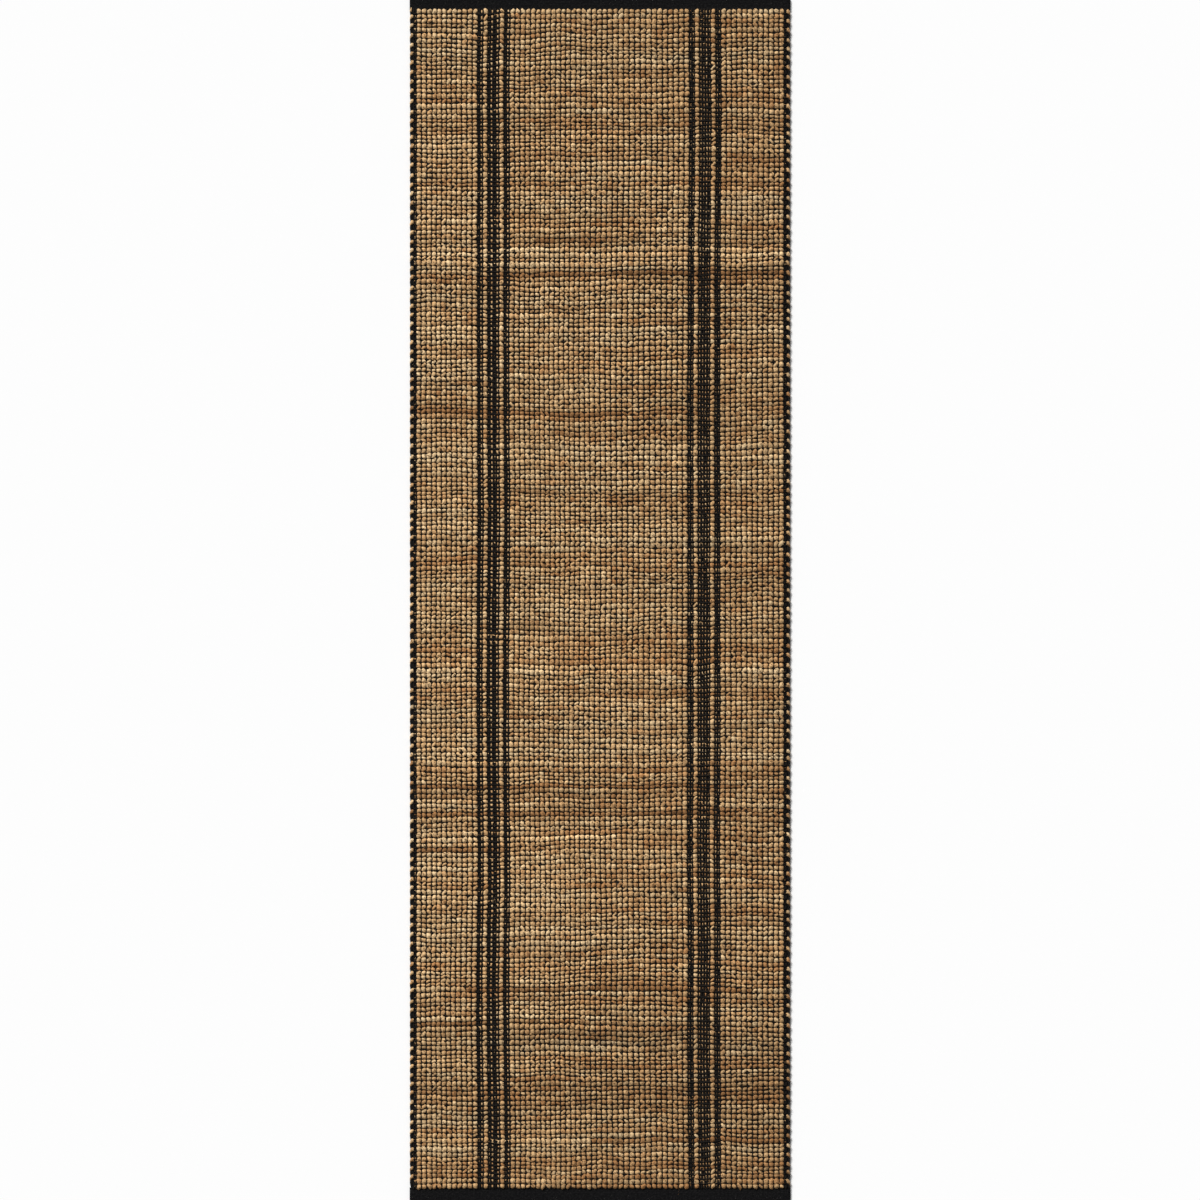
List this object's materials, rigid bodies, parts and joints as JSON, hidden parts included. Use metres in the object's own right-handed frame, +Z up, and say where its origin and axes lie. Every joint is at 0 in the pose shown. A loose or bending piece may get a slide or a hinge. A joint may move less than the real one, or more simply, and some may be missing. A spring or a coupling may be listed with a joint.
{
  "type": "runner rug",
  "caption": "Long flat-woven runner in chunky natural jute on black warps, with a black three-band stripe along each side and black folded hems.",
  "frame": {"origin": "centre of the underside, on the floor", "axes": "+X across the rug to the right, +Y along the rug to its head, +Z up out of the face of the weave"},
  "size_m": [0.76, 2.4, 0.008],
  "materials": {
    "jute": "loosely twisted natural jute yarn, matte with a faint straw sheen",
    "black_cotton": "black dyed cotton warp and binder yarn, matte",
    "hem_cloth": "black flat-woven cotton heading with fine cross ribs, matte",
    "thread": "black sewing thread, slightly lustrous"
  },
  "bodies": {
    "root": {"jute_weft_1": "jute", "jute_weft_2": "jute", "jute_weft_3": "jute", "jute_weft_4": "jute", "jute_weft_5": "jute", "jute_weft_6": "jute", "jute_weft_7": "jute", "jute_weft_8": "jute", "jute_weft_9": "jute", "binder_weft": "black_cotton", "selvedge_left": "black_cotton", "border_warps_left": "black_cotton", "outer_band_left": "black_cotton", "middle_band_left": "black_cotton", "inner_band_left": "black_cotton", "centre_warps": "black_cotton", "inner_band_right": "black_cotton", "middle_band_right": "black_cotton", "outer_band_right": "black_cotton", "border_warps_right": "black_cotton", "selvedge_right": "black_cotton", "hem_head": "hem_cloth", "hem_foot": "hem_cloth", "hem_thread_head": "thread", "hem_thread_foot": "thread"}
  },
  "joints": []
}
